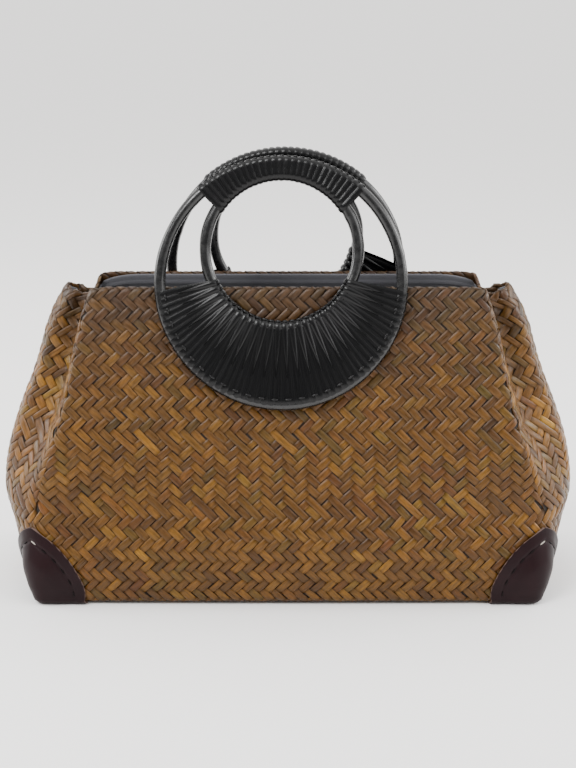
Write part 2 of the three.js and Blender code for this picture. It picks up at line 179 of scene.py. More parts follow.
def level_list(side):
    """Every level from under the floor, over the mouth's edge and down inside: way up, rise, inset and z."""
    levels = []
    heights = np.append(np.linspace(FOOT_Z + FOOT_RADIUS, RIM_HEIGHT - EDGE_RADIUS, 86), RIM_HEIGHT)
    depths = np.array([half_depth(side, z) for z in heights])
    steps = np.hypot(np.diff(heights), np.diff(depths))
    way = np.concatenate([[0], np.cumsum(steps)]) + FIRST_WAY
    for inset in UNDER_INSETS:
        levels.append((way[0] - math.pi / 2 * FOOT_RADIUS - (inset - FOOT_RADIUS), UNDER_RISE, inset, FOOT_Z))
    for angle in np.linspace(90, 0, 6)[:-1]:
        a = math.radians(angle)
        z = FOOT_Z + FOOT_RADIUS * (1 - math.sin(a))
        levels.append((way[0] - a * FOOT_RADIUS, z / RIM_HEIGHT, FOOT_RADIUS * (1 - math.cos(a)), z))
    for distance, z in zip(way[:-1], heights[:-1]):
        levels.append((distance, z / RIM_HEIGHT, 0.0, z))
    for angle in np.linspace(0, 180, 9)[1:]:
        a = math.radians(angle)
        z = RIM_HEIGHT - EDGE_RADIUS + EDGE_RADIUS * math.sin(a)
        rise = 1 if angle <= 90 else (RIM_HEIGHT - EDGE_RADIUS * angle / 180) / RIM_HEIGHT
        inset = EDGE_RADIUS * (1 - math.cos(a))
        levels.append((way[-2] + a * EDGE_RADIUS, min(z / RIM_HEIGHT, rise), inset, z))
    top = way[-2] + math.pi * EDGE_RADIUS
    for down in np.linspace(1.5, HEM, 9):
        z = RIM_HEIGHT - EDGE_RADIUS - down
        levels.append((top + down, z / RIM_HEIGHT, STRAW_WALL, z))
    return levels


def body_map(side, far_side):
    """Places on the straw by level and by way along it: from the panel's middle, round the end, and where
    there is a far side, on to its ridge."""
    levels = level_list(side)
    lines = []
    for _, rise, inset, z in levels:
        line = level_line(side, rise, inset, z)
        if far_side:
            far = level_line(far_side, rise, inset, z) * (1, -1, 1)
            line = np.vstack([line, far[::-1][1:4 * ARC_COUNT + 2]])
        lines.append(line)
    grid = np.array(lines)
    normals = np.cross(np.gradient(grid, axis=0), np.gradient(grid, axis=1))
    normals /= np.linalg.norm(normals, axis=2, keepdims=True) + 1e-12
    steps = np.linalg.norm(np.diff(grid, axis=1), axis=2)
    ways = np.concatenate([np.zeros((len(grid), 1)), np.cumsum(steps, axis=1)], axis=1)
    even = np.arange(0, int(ways.max()) + 2, 1.0)

    def spread_evenly(values):
        by_level = [[np.interp(even, way, line[:, k]) for k in range(3)] for way, line in zip(ways, values)]
        return np.array(by_level).transpose(0, 2, 1)

    peak_at = len(STATIONS) - 1
    end_at = 2 * peak_at - RIDGE_AT if far_side else -1
    return {
        "way": np.array([level[0] for level in levels]),
        "places": spread_evenly(grid),
        "outs": spread_evenly(normals),
        "ridge": ways[:, RIDGE_AT],
        "peak": ways[:, peak_at],
        "end": ways[:, end_at],
    }


def levels_beside(body, up):
    """The levels just below and just above each way up the straw, with the weight of each."""
    rows = np.interp(up, body["way"], np.arange(len(body["way"])))
    low = np.clip(rows.astype(int), 0, len(body["way"]) - 2)
    share = rows - low
    return (low, 1 - share), (low + 1, share)


def places_along(body, level, way, weight):
    """Weighted places and outward directions at a way along each level."""
    at = np.clip(way, 0, body["places"].shape[1] - 1.001)
    first = at.astype(int)
    part = (at - first)[:, None]
    return [weight[:, None] * (body[name][level, first] * (1 - part) + body[name][level, first + 1] * part)
            for name in ("places", "outs")]


# How far, in mm, strips run on past a ridge, where they begin to turn in there, and how deep they then go
PANEL_PAST_RIDGE = 2.2
END_PAST_RIDGE = 1.2
END_PAST_FAR_RIDGE = 1.5
PANEL_TURNS_AFTER = 0.8
END_TURNS_BEFORE = 0.2
TURNED_IN_DEPTH = 0.7
FOLD_FADE = 12


def on_body(body, across, up, zone, lift):
    """Points at a distance across and up the straw, raised by lift, and how far each is turned in at a ridge.
    Zone 1 is the panel, 2 the folded end, and 3 is low down, where nothing is folded away."""
    far = np.abs(across)
    points, outs, turned_in = 0, 0, 0
    for level, weight in levels_beside(body, up):
        ridge, peak = body["ridge"][level], body["peak"][level]
        end_way = peak + far - body["widest"]
        past = np.where(zone == 1, far - ridge - PANEL_TURNS_AFTER,
                        np.where(zone == 2, ridge + END_TURNS_BEFORE - end_way, 0))
        turned_in = turned_in + weight * np.clip(past, 0, 1)
        panel_way = np.minimum(far, ridge + PANEL_PAST_RIDGE)
        end_way = np.clip(end_way, ridge - END_PAST_RIDGE, body["end"][level] + END_PAST_FAR_RIDGE)
        faded = np.clip((far - ridge + FOLD_FADE / 2) / FOLD_FADE, 0, 1)
        even_way = far - (body["widest"] - peak) * faded
        way = np.where(zone == 1, panel_way, np.where(zone == 2, end_way, even_way))
        places, directions = places_along(body, level, way, weight)
        points, outs = points + places, outs + directions
    outs /= np.linalg.norm(outs, axis=1, keepdims=True) + 1e-12
    points = points + outs * (lift - TURNED_IN_DEPTH * turned_in)[:, None]
    points[:, 0] *= np.where(across < 0, -1.0, 1.0)
    return points, turned_in


COLUMN = 4.0
ROW = 3.85
CELL = math.hypot(COLUMN, ROW)
LATTICE_SHIFT = -0.8
UPRIGHT_ROW = 19
LEVEL_AGAIN_ROW = 31


def left_strip_over(column, row):
    """Whether the strip that leans left lies on top where two strips cross."""
    level_low = (row + 3) % 4 < 2
    upright = column % 4 < 2
    level_high = (row + 1) % 4 < 2
    higher = np.where(row < LEVEL_AGAIN_ROW, upright, level_high)
    return np.where(row < UPRIGHT_ROW, level_low, higher)


def strip_runs(widest_column, lowest_row, highest_row, over):
    """Each run of a strip on top of its neighbours: lean, strip, middle column, middle row, cells crossed."""
    rows = np.arange(lowest_row, highest_row + 1)
    found = []
    for lean in (-1, 1):
        for strip in range(-widest_column, widest_column + 1):
            columns = lean * rows - lean * 2 * strip
            on_top = over(columns, rows) == (lean < 0)
            on_top &= np.abs(columns) <= widest_column
            edges = np.flatnonzero(np.diff(np.concatenate([[0], on_top.astype(int), [0]])))
            for start, stop in zip(edges[::2], edges[1::2]):
                middle = (start + stop - 1) / 2
                row = lowest_row + middle
                found.append((lean, strip, lean * row - lean * 2 * strip, row, stop - start))
    return np.array(found, float)


def take_mesh(made):
    """The points and faces of a new object, which is then removed: a pattern to be laid many times."""
    points = np.array([v.co for v in made.data.vertices])
    faces = [list(p.vertices) for p in made.data.polygons]
    bpy.data.objects.remove(made)
    return points, faces


def copy_faces(faces, size, count):
    """Four-cornered faces for a number of copies of a pattern of size points."""
    return (np.array(faces)[None] + np.arange(count)[:, None, None] * size).reshape(-1, 4)


def link_piece(name, points, faces):
    """A smooth piece from points in metres, linked to the scene."""
    mesh = bpy.data.meshes.new(name)
    mesh.from_pydata(points.tolist(), [], faces)
    mesh.shade_smooth()
    made = bpy.data.objects.new(name, mesh)
    bpy.context.scene.collection.objects.link(made)
    return made


# One strip's visible run is a shallow arched band with its edges and ends turned down. It is modelled flat,
# 2 by 2, and each copy is laid along its own way on the body.
along_places = np.array([-1.0, -0.80, -0.52, -0.18, 0.18, 0.52, 0.80, 1.0])
across_places = np.array([-1.0, -0.92, -0.38, 0.38, 0.92, 1.0])
bpy.ops.mesh.primitive_grid_add(x_subdivisions=7, y_subdivisions=5, size=2)
run_corners, run_faces = take_mesh(bpy.context.object)
run_along = along_places[np.rint((run_corners[:, 0] + 1) * 3.5).astype(int)]
run_across = across_places[np.rint((run_corners[:, 1] + 1) * 2.5).astype(int)]
run_edge = np.abs(run_across) > 0.99


def linear(hex_colour):
    """A colour written as sRGB hex, as the linear numbers that the shaders use."""
    parts = [int(hex_colour[k:k + 2], 16) / 255 for k in (1, 3, 5)]
    return tuple(c / 12.92 if c <= 0.04045 else ((c + 0.055) / 1.055) ** 2.4 for c in parts) + (1.0,)


STRIP_WIDTH = 5.25
STRIP_TUCK = 2.3
STRIP_ARCH = 0.30
EDGE_DROP = 0.36
MEAN_LIFT = -0.14
RISE_LIFT = 0.52
TURN_SPREAD = 0.022
SLIDE_SPREAD = 0.16
BEND_SPREAD = 0.22
TILT_SPREAD = 0.07
LIFT_SPREAD = 0.05


def lay_strips(runs, random):
    """Flat places of every run's corners, their height over the mean surface, the run's own way along and
    across, and how deep each corner is tucked under its neighbours or turned down: the mask of painted shade."""
    lean, _, column, row, cells = runs.T
    middle_a = column * COLUMN + LATTICE_SHIFT
    middle_b = row * ROW
    inner = cells * CELL / 2
    half = inner + STRIP_TUCK
    way_a, way_b = lean * COLUMN / CELL, np.full(len(runs), ROW / CELL)
    turn = random.normal(0, TURN_SPREAD, len(runs))
    way_a, way_b = way_a - way_b * turn, way_b + way_a * turn
    width = STRIP_WIDTH / 2 * np.clip(random.normal(0.985, 0.05, len(runs)), 0.84, 1.08)
    slide = random.normal(0, SLIDE_SPREAD, len(runs))
    bend = random.normal(0, BEND_SPREAD, len(runs))
    t = half[:, None] * run_along
    w = width[:, None] * run_across + slide[:, None] + bend[:, None] * (run_along ** 2 - 0.4)
    a = middle_a[:, None] + way_a[:, None] * t - way_b[:, None] * w
    b = middle_b[:, None] + way_b[:, None] * t + way_a[:, None] * w
    inside = np.clip((inner[:, None] - np.abs(t)) / CELL, -1, 1)
    rise = np.sin(inside * math.pi / 2)
    tilt = random.normal(0, TILT_SPREAD, len(runs))[:, None] * run_across
    arch = -STRIP_ARCH * run_across ** 2 - EDGE_DROP * run_edge
    own_lift = random.normal(0, LIFT_SPREAD, len(runs))[:, None]
    lift = MEAN_LIFT + RISE_LIFT * rise + tilt + arch + own_lift
    start = random.uniform(0, 400, len(runs))
    own_way = np.stack([t + start[:, None], w], axis=2)
    # Painted shade: tucked darkens the colour where a run dips under its neighbours and along its turned-down
    # edges
    tucked = 0.5 - rise / 2 + 0.5 * run_edge
    return a, b, lift, own_way, tucked


STRAW_SHADES = [
    ("#4f3204", 5), ("#5b3a07", 4), ("#452902", 4), ("#66450b", 2),
    ("#4a2804", 1), ("#453505", 1), ("#3c2405", 1),
]
TOP_COLOUR = "#2a211c"
TOP_HEIGHTS = (0, 110, 165, 200, 214, 226)
TOP_SHARES = (0, 0.05, 0.2, 0.42, 0.55, 0.62)
OWN_SHADE_SHARE = 0.45
shade_list = np.array([linear(shade)[:3] for shade, _ in STRAW_SHADES])
shade_odds = np.array([odds for _, odds in STRAW_SHADES], float)
shade_odds /= shade_odds.sum()


def tint_strips(runs, random, paler):
    """Each strip has its own shade, each run of it differs a little, the top is darker and greyer, and paler
    scales each run: the painted sheen on the folded ends.
    """
    names = runs[:, 0] * 1000 + runs[:, 1]
    strips, which = np.unique(names, return_inverse=True)
    base = shade_list[random.choice(len(shade_list), len(strips), p=shade_odds)][which]
    own = shade_list[random.choice(len(shade_list), len(runs), p=shade_odds)]
    mixed = base * (1 - OWN_SHADE_SHARE) + own * OWN_SHADE_SHARE
    toward_top = np.interp(runs[:, 3] * ROW, TOP_HEIGHTS, TOP_SHARES)[:, None]
    mixed = mixed * (1 - toward_top) + np.array(linear(TOP_COLOUR)[:3]) * toward_top
    strength = np.exp(random.normal(0, 0.11, len(runs)))
    return mixed * strength[:, None] * paler[:, None]


def strips_object(name, points, own_way, tints, tucked):
    """Joins all the runs into one smooth mesh, with each run's own way as its UV map."""
    count, size = points.shape[:2]
    faces = copy_faces(run_faces, size, count)
    made = link_piece(name, points.reshape(-1, 3) / 1000, faces.tolist())
    mesh = made.data
    uv = own_way.reshape(-1, 2)[faces.ravel()] / 100
    mesh.uv_layers.new(name="strip_way").data.foreach_set("uv", uv.ravel())
    colour = mesh.color_attributes.new(name="strip_tint", type="FLOAT_COLOR", domain="POINT")
    tint = np.repeat(np.clip(tints, 0, 1), size, axis=0)
    colour.data.foreach_set("color", np.column_stack([tint, np.ones(len(tint))]).ravel())
    depth = mesh.attributes.new(name="tucked", type="FLOAT", domain="POINT")
    depth.data.foreach_set("value", np.clip(tucked, 0, 1).ravel())
    return made


front_body = body_map("front", "back")
front_body["widest"] = front_body["peak"][15:90].max()
back_body = body_map("back", None)
back_body["widest"] = front_body["widest"]

PANEL_MARGIN = 2.4
END_MARGIN = 1.6
FAR_MARGIN = 0.5
NARROW_FOLD = 4.5


def place_runs(runs, body, ends_too):
    """The zone that each run lies in, or 0 where the straw is folded away or beyond what is made."""
    column, row = runs[:, 2], runs[:, 3]
    far = np.abs(column * COLUMN + LATTICE_SHIFT)
    near = np.rint(np.interp(row * ROW, body["way"], np.arange(len(body["way"])))).astype(int)
    ridge, peak = body["ridge"][near], body["peak"][near]
    fold_end = body["widest"] - (peak - ridge)
    zone = np.where(far <= ridge + PANEL_MARGIN, 1, 0)
    if ends_too:
        last = body["end"][near] - peak + body["widest"]
        in_end = (far >= fold_end - END_MARGIN) & (far <= last + FAR_MARGIN)
        zone = np.where((zone == 0) & in_end, 2, zone)
        narrow = (fold_end - ridge < NARROW_FOLD) & (np.abs(far - ridge) < FOLD_FADE)
        zone = np.where(narrow, 3, zone)
    return zone


# Painted sheen: the folded ends are painted paler where their bulge catches the light, most about half way up
SHEEN_HEIGHTS = (50, 95, 150, 185)
SHEEN_GAINS = (1.05, 1.35, 1.45, 1.2)
ROOM_PAST_ENDS = 80
ROOM_PAST_PANEL = 6
LOWEST_ROW = -3
HIGHEST_ROW = 62


def woven_panel(name, body, ends_too, seed, facing):
    random = np.random.default_rng(seed)
    reach = body["widest"] + ROOM_PAST_ENDS if ends_too else body["ridge"].max() + ROOM_PAST_PANEL
    runs = strip_runs(int(reach / COLUMN), LOWEST_ROW, HIGHEST_ROW, left_strip_over)
    zone = place_runs(runs, body, ends_too)
    runs, zone = runs[zone > 0], zone[zone > 0]
    a, b, lift, own_way, tucked = lay_strips(runs, random)
    size = a.shape[1]
    points, turned_in = on_body(body, a.ravel(), b.ravel(), np.repeat(zone, size), lift.ravel())
    points = points.reshape(-1, size, 3) * (facing, -facing, 1)
    # Where strips turn in at a ridge they are masked for the painted shade too
    tucked = np.maximum(tucked, 0.8 * turned_in.reshape(-1, size))
    # Painted sheen for the runs on the folded ends, a little different from run to run
    painted_sheen = np.interp(runs[:, 3] * ROW, SHEEN_HEIGHTS, SHEEN_GAINS)
    painted_sheen *= np.exp(random.normal(0, 0.22, len(runs)))
    tints = tint_strips(runs, random, np.where(zone > 1, painted_sheen, 1.0))
    return strips_object(name, points, own_way, tints, tucked)


front_weave = woven_panel("front_and_end_weave", front_body, True, 11, 1)
back_weave = woven_panel("back_weave", back_body, False, 12, -1)


def add_node(tree, kind, sockets=None, **settings):
    """Adds a node, sets what it is told to, and links or sets its sockets."""
    node = tree.nodes.new(kind)
    for name, value in settings.items():
        setattr(node, name, value)
    for name, value in (sockets or {}).items():
        if isinstance(value, bpy.types.NodeSocket):
            tree.links.new(value, node.inputs[name])
        else:
            node.inputs[name].default_value = value
    return node


def new_material(name):
    material = bpy.data.materials.new(name)
    material.use_nodes = True
    material.node_tree.nodes.clear()
    return material, material.node_tree


def add_shader(tree, sockets):
    shader = add_node(tree, "ShaderNodeBsdfPrincipled", sockets)
    add_node(tree, "ShaderNodeOutputMaterial", {"Surface": shader.outputs["BSDF"]})


def stretch(tree, place, scale):
    return add_node(tree, "ShaderNodeMapping", {"Vector": place, "Scale": scale}).outputs["Vector"]


def noise(tree, place, scale, detail, **more):
    sockets = {"Vector": place, "Scale": scale, "Detail": detail, **more}
    return add_node(tree, "ShaderNodeTexNoise", sockets).outputs["Fac"]


def map_range(tree, value, low, high, to_low, to_high):
    """A value that runs from low to high, mapped to run from to_low to to_high."""
    sockets = {"Value": value, "From Min": low, "From Max": high, "To Min": to_low, "To Max": to_high}
    return add_node(tree, "ShaderNodeMapRange", sockets).outputs["Result"]


def calculate(tree, operation, first, second):
    return add_node(tree, "ShaderNodeMath", {0: first, 1: second}, operation=operation).outputs["Value"]


def bump(tree, height, strength, distance, **more):
    sockets = {"Height": height, "Strength": strength, "Distance": distance, **more}
    return add_node(tree, "ShaderNodeBump", sockets).outputs["Normal"]


# Waxed straw strip: dried flat leaf, rubbed with wax. Fine fibres run along it, and its gloss is soft.
straw, tree = new_material("waxed_straw_strip")
way = add_node(tree, "ShaderNodeUVMap", uv_map="strip_way").outputs["UV"]
fibre = noise(tree, stretch(tree, way, (22, 300, 1)), 1.0, 3.0, Roughness=0.6)
streak = noise(tree, stretch(tree, way, (9, 60, 1)), 1.0, 2.0)
tint = add_node(tree, "ShaderNodeAttribute", attribute_name="strip_tint").outputs["Color"]
tucked = add_node(tree, "ShaderNodeAttribute", attribute_name="tucked").outputs["Fac"]
fine_shade = map_range(tree, fibre, 0.3, 0.7, 0.66, 1.28)
broad_shade = map_range(tree, streak, 0.3, 0.7, 0.7, 1.3)
# Painted shade: the colour darkens where runs are tucked under or turned down, standing in for the shadow in
# the gaps, and the gloss is weakened there too
painted_gap_shade = map_range(tree, tucked, 0.25, 0.75, 1.0, 0.22)
shading = calculate(tree, "MULTIPLY", calculate(tree, "MULTIPLY", fine_shade, broad_shade), painted_gap_shade)
colour = add_node(tree, "ShaderNodeVectorMath", {0: tint, "Scale": shading}, operation="SCALE")
gloss = map_range(tree, streak, 0.3, 0.7, 0.27, 0.5)
shine = calculate(tree, "MULTIPLY", painted_gap_shade, 0.3)
add_shader(tree, {"Base Color": colour.outputs["Vector"], "Roughness": gloss, "Specular IOR Level": shine,
                  "IOR": 1.48, "Normal": bump(tree, fibre, 0.45, 0.00025)})
for piece in (front_weave, back_weave):
    piece.data.materials.append(straw)
    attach(piece, "root")
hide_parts("basket")


# Floor weave and the dark inner layer of the straw. The floor is plaited flat from the same strips.
# The inner layer is what shows in the gaps: the shaded underside of the strips, one closed shell.

def whole_ring(rise, inset, z):
    """A level all round, seen from above: front middle, right end, back middle, left end."""
    front = level_line("front", rise, inset, z) * (1, -1, 1)
    back = level_line("back", rise, inset, z)
    return np.vstack([front, back[::-1][1:], (back * (-1, 1, 1))[1:], (front * (-1, 1, 1))[::-1][1:-1]])


def closed_skin(name, loops):
    """Joins rings of equal length, up the outside, over and down inside, and closes both ends."""
    count = len(loops[0])
    index = np.arange(count)
    after = (index + 1) % count
    band = np.column_stack([index, after, after + count, index + count])
    faces = np.vstack([band + level * count for level in range(len(loops) - 1)]).tolist()
    top = (len(loops) - 1) * count
    points = np.vstack([*loops, loops[0].mean(axis=0), loops[-1].mean(axis=0)])
    faces += [[len(points) - 2, b, a] for a, b in zip(index, after)]
    faces += [[len(points) - 1, top + a, top + b] for a, b in zip(index, after)]
    return link_piece(name, points / 1000, faces)


CORE_OUTER_INSET = 1.15
CORE_INNER_INSET = 1.70
core_heights = np.linspace(5.0, RIM_HEIGHT - 1.4, 44)
core_loops = [whole_ring(0.01, 3.6, FOOT_Z + 1.0)]
core_loops += [whole_ring(z / RIM_HEIGHT, CORE_OUTER_INSET, z) for z in core_heights]
core_loops += [whole_ring(z / RIM_HEIGHT, CORE_INNER_INSET, z) for z in core_heights[::-1]]
core_loops += [whole_ring(0.015, 4.2, FOOT_Z + 1.6)]
core = closed_skin("straw_inner_layer", core_loops)


def mix_colour(tree, factor, first, second):
    sockets = {"Factor": factor, "A": first, "B": second}
    return add_node(tree, "ShaderNodeMix", sockets, data_type="RGBA").outputs["Result"]


shade, tree = new_material("shaded_straw")
place = add_node(tree, "ShaderNodeTexCoord").outputs["Object"]
mottle = mix_colour(tree, noise(tree, place, 300.0, 2.0), linear("#0d0805"), linear("#1c120a"))
add_shader(tree, {"Base Color": mottle, "Roughness": 0.8, "IOR": 1.48})
core.data.materials.append(shade)

FLOOR_INSET = 11.5
FLOOR_CELLS = 52
floor_runs = strip_runs(FLOOR_CELLS, -FLOOR_CELLS, FLOOR_CELLS, lambda column, row: (row + 1) % 4 < 2)
edge_ring = whole_ring(UNDER_RISE, FLOOR_INSET, 0)[:, :2]
middles = np.column_stack([floor_runs[:, 2] * COLUMN + LATTICE_SHIFT, -floor_runs[:, 3] * ROW])
ring_angle = np.arctan2(edge_ring[:, 1], edge_ring[:, 0])
order = np.argsort(ring_angle)
ring_reach = np.hypot(edge_ring[:, 0], edge_ring[:, 1])
reach_there = np.interp(np.arctan2(middles[:, 1], middles[:, 0]), ring_angle[order], ring_reach[order],
                        period=2 * math.pi)
floor_runs = floor_runs[np.hypot(middles[:, 0], middles[:, 1]) < reach_there]
random = np.random.default_rng(13)
a, b, lift, own_way, tucked = lay_strips(floor_runs, random)
floor_points = np.stack([a, -b, FOOT_Z - lift], axis=2)
floor_tints = tint_strips(floor_runs, random, np.full(len(floor_runs), 0.9))
floor_weave = strips_object("floor_weave", floor_points, own_way, floor_tints, tucked)
floor_weave.data.materials.append(straw)
for piece in (core, floor_weave):
    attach(piece, "root")
    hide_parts("basket")


# Cane rings: each handle is two rings of round cane, bent and lacquered black, an outer ring and a smaller
# hand ring inside it near its top. They are smooth, with a faint swelling where a leaf once grew.

CANE = 8.0
OUTER_RADIUS = 84.25
HAND_RADIUS = 53.3
HAND_LIFT = OUTER_RADIUS - HAND_RADIUS - CANE - 0.3
WRAP_WALL = 1.0
PANEL_CLEARANCE = 0.3
# side, turn about Z, lift, sideways shift, and how many degrees the crescent reaches to the left and right
# of the bottom, on the outer ring and on the hand ring
HANDLES = [
    ("front", 0, 2.2, -4.5, (86, 86), (67, 67)),
    ("back", 180, 2.6, 2.2, (89, 83), (79, 60)),
]


def handle_place(row, local):
    """Millimetre points in a handle's own plane, with -Y towards the viewer, set on their panel in metres."""
    side, facing, lift, shift = row[:4]
    lean = math.atan(panel_lean(side))
    x = local[:, 0] + shift
    y = local[:, 1] - (PANEL_CLEARANCE + WRAP_WALL + CANE / 2)
    z = local[:, 2] + lift
    turned_y = y * math.cos(lean) + z * math.sin(lean) - RIM_DEPTH / 2
    turned_z = -y * math.sin(lean) + z * math.cos(lean) + RIM_HEIGHT
    sign = -1 if facing else 1
    return np.column_stack([x * sign, turned_y * sign, turned_z]) / 1000


def ring_point(radius, lift, angle):
    return np.array([radius * math.sin(angle), 0.0, lift + radius * math.cos(angle)])


lacquered_cane, tree = new_material("black_lacquered_cane")
place = add_node(tree, "ShaderNodeTexCoord").outputs["Object"]
cane_grain = noise(tree, place, 260.0, 3.0)
worn = map_range(tree, cane_grain, 0.35, 0.75, 0.2, 0.42)
add_shader(tree, {"Base Color": linear("#050506"), "Roughness": worn, "IOR": 1.5, "Coat Weight": 0.1,
                  "Coat Roughness": 0.1, "Normal": bump(tree, cane_grain, 0.12, 0.0003)})

LEAF_SCARS = 4
SCAR_SWELL = 0.28
SCAR_WIDTH = 2.2
RING_WOBBLE = 0.35
random = np.random.default_rng(21)
for row in HANDLES:
    for ring, radius, lift in (("outer", OUTER_RADIUS, 0.0), ("hand", HAND_RADIUS, HAND_LIFT)):
        bpy.ops.mesh.primitive_torus_add(major_radius=radius, minor_radius=CANE / 2, major_segments=180,
                                         minor_segments=20)
        made = bpy.context.object
        made.name = f"{row[0]}_{ring}_cane"
        made.data.name = made.name
        points = np.array([v.co for v in made.data.vertices])
        around = np.arctan2(points[:, 0], points[:, 1])
        middle = np.column_stack([np.sin(around), np.cos(around), np.zeros(len(around))]) * radius
        swell = np.zeros(len(around))
        for scar_angle in random.uniform(-math.pi, math.pi, LEAF_SCARS):
            gap = np.angle(np.exp(1j * (around - scar_angle))) * radius
            swell += SCAR_SWELL * np.exp(-(gap / SCAR_WIDTH) ** 2)
        swell += 0.12 * np.sin(around * 5 + random.uniform(0, 6)) + 0.08 * np.sin(around * 13)
        wobble = RING_WOBBLE * np.sin(around * 3 + random.uniform(0, 6))
        section = (points - middle) * (1 + swell[:, None] / (CANE / 2))
        points = middle * (1 + wobble[:, None] / radius) + section
        local = np.column_stack([points[:, 0], -points[:, 2], points[:, 1] + lift])
        made.data.vertices.foreach_set("co", handle_place(row, local).ravel())
        made.data.update()
        bpy.ops.object.shade_smooth()
        made.data.materials.append(lacquered_cane)
        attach(made, "root")
        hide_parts(f"{row[0]}_{ring}_ring")


# Grips and crescents: black lacquered flat strip wound round both rings, in close turns along the grip. In
# the crescent broad tongues come down from the hand ring to points, over turns from the outer ring. Beads run
# round the hand ring, a knotted edge along the top of the grip, and dashes of strip inside the outer ring.

bpy.ops.mesh.primitive_grid_add(x_subdivisions=31, y_subdivisions=4, size=2)
turn_corners, turn_faces = take_mesh(bpy.context.object)
turn_across = turn_corners[:, 1]
turn_way = (turn_corners[:, 0] + 1) / 2
bpy.ops.mesh.primitive_uv_sphere_add(segments=8, ring_count=6, radius=1)
knot_points, knot_faces = take_mesh(bpy.context.object)


def knot_at(centre, along, out, length, thick):
    """A bead, knot or stitch: the round pattern drawn out along one way."""
    third = np.cross(along, out)
    return (centre + np.outer(knot_points[:, 0] * length / 2, along)
            + np.outer(knot_points[:, 1] * thick / 2, third) + np.outer(knot_points[:, 2] * thick / 2, out))


def faces_of_knots(count, start=0):
    size = len(knot_points)
    return [[v + start + k * size for v in face] for k in range(count) for face in knot_faces]


def section_path(reach, way, radius):
    """A way round both canes, from the middle of the front face outwards, round a cane, to the middle of the
    back. Gives how far along and in front each point is, and its outward direction in those two."""
    half_turn = math.pi * radius
    total = 2 * reach + half_turn
    distance = way * total
    flat_front = distance < reach
    turning = (distance >= reach) & (distance < reach + half_turn)
    angle = np.where(turning, (distance - reach) / radius, 0)
    line = np.where(flat_front, distance, np.where(turning, reach + radius * np.sin(angle), total - distance))
    front = np.where(flat_front, radius, np.where(turning, radius * np.cos(angle), -radius))
    out_line = np.where(turning, np.sin(angle), 0)
    out_front = np.where(flat_front, 1.0, np.where(turning, np.cos(angle), -1.0))
    return line, front, out_line, out_front


def wound_turn(angle_outer, angle_hand, from_cane, length_share, widths, thickness, radius, lean):
    """One turn of strip. It starts on the front face, goes round one cane and ends on the back face."""
    outer = ring_point(OUTER_RADIUS, 0, angle_outer)
    hand = ring_point(HAND_RADIUS, HAND_LIFT, angle_hand)
    start, end = (hand, outer) if from_cane == "outer" else (outer, hand)
    span = np.linalg.norm(end - start)
    toward = (end - start) / span
    side = np.cross(toward, [0, 1, 0])
    reach = span * length_share
    line, front, out_line, out_front = section_path(reach, turn_way, radius)
    width = np.interp(turn_way, np.linspace(0, 1, len(widths)), widths)
    arch = thickness * (1 - 0.75 * turn_across ** 2)
    points = start + np.outer(span - reach + line, toward)
    points = points + np.outer(turn_across * width / 2 + lean * (turn_way - 0.5), side)
    points += np.outer(arch * out_line, toward)
    points[:, 1] -= front + arch * out_front
    return points


def join_turns(name, row, turns, knots):
    """Joins wound turns and knots to one piece on its handle, with each turn's own way as its UV map."""
    count, size = len(turns), len(turn_way)
    faces = copy_faces(turn_faces, size, count).tolist() + faces_of_knots(len(knots), count * size)
    along = np.tile(turn_way, (count, 1)) + np.arange(count)[:, None] * 3.7
    own_way = np.stack([along, np.tile(turn_across, (count, 1))], axis=2).reshape(-1, 2)
    own_way = np.vstack([own_way, np.zeros((len(knots) * len(knot_points), 2))])
    made = link_piece(name, handle_place(row, np.vstack(turns + knots)), faces)
    uv = own_way[np.concatenate([np.array(face) for face in faces])]
    made.data.uv_layers.new(name="turn_way").data.foreach_set("uv", uv.ravel())
    bpy.context.view_layer.objects.active = made
    made.select_set(True)
    bpy.ops.object.mode_set(mode="EDIT")
    bpy.ops.mesh.select_all(action="SELECT")
    bpy.ops.mesh.normals_make_consistent(inside=False)
    bpy.ops.object.mode_set(mode="OBJECT")
    made.select_set(False)
    return made


def on_crescent(reach, share):
    """Angle on a ring, from the crescent's left end where share is -1 to its right end where it is 1."""
    left, right = reach
    return math.radians(180 + left - (left + right) * (share + 1) / 2)


def even_shares(count):
    return [(2 * k + 1) / count - 1 for k in range(count)]


def around_ring(angle):
    return np.array([math.cos(angle), 0, -math.sin(angle)])


lacquered_strip, tree = new_material("black_lacquered_strip")
way = add_node(tree, "ShaderNodeUVMap", uv_map="turn_way").outputs["UV"]
strip_grain = noise(tree, stretch(tree, way, (3, 9, 1)), 1.0, 4.0)
gloss = map_range(tree, strip_grain, 0.3, 0.7, 0.12, 0.36)
add_shader(tree, {"Base Color": linear("#040405"), "Roughness": gloss, "IOR": 1.5,
                  "Specular IOR Level": 0.25, "Normal": bump(tree, strip_grain, 0.18, 0.0004)})

GRIP_OUTER, GRIP_HAND = 41.5, 57
GRIP_TURNS = 27
GRIP_OVERLAP = 1.04
GRIP_THICKNESS = 0.55
GRIP_REACH = 0.55
CRESCENT_TURNS = 26
CRESCENT_OVERLAP = 1.02
UNDER_TURN_REACH = 0.97
TONGUE_REACH = 0.66
TONGUE_TIP = 0.3
BEAD_SPACING = 5.0
DASH_SPACING = 9.5
DASH_INSET = 3.3
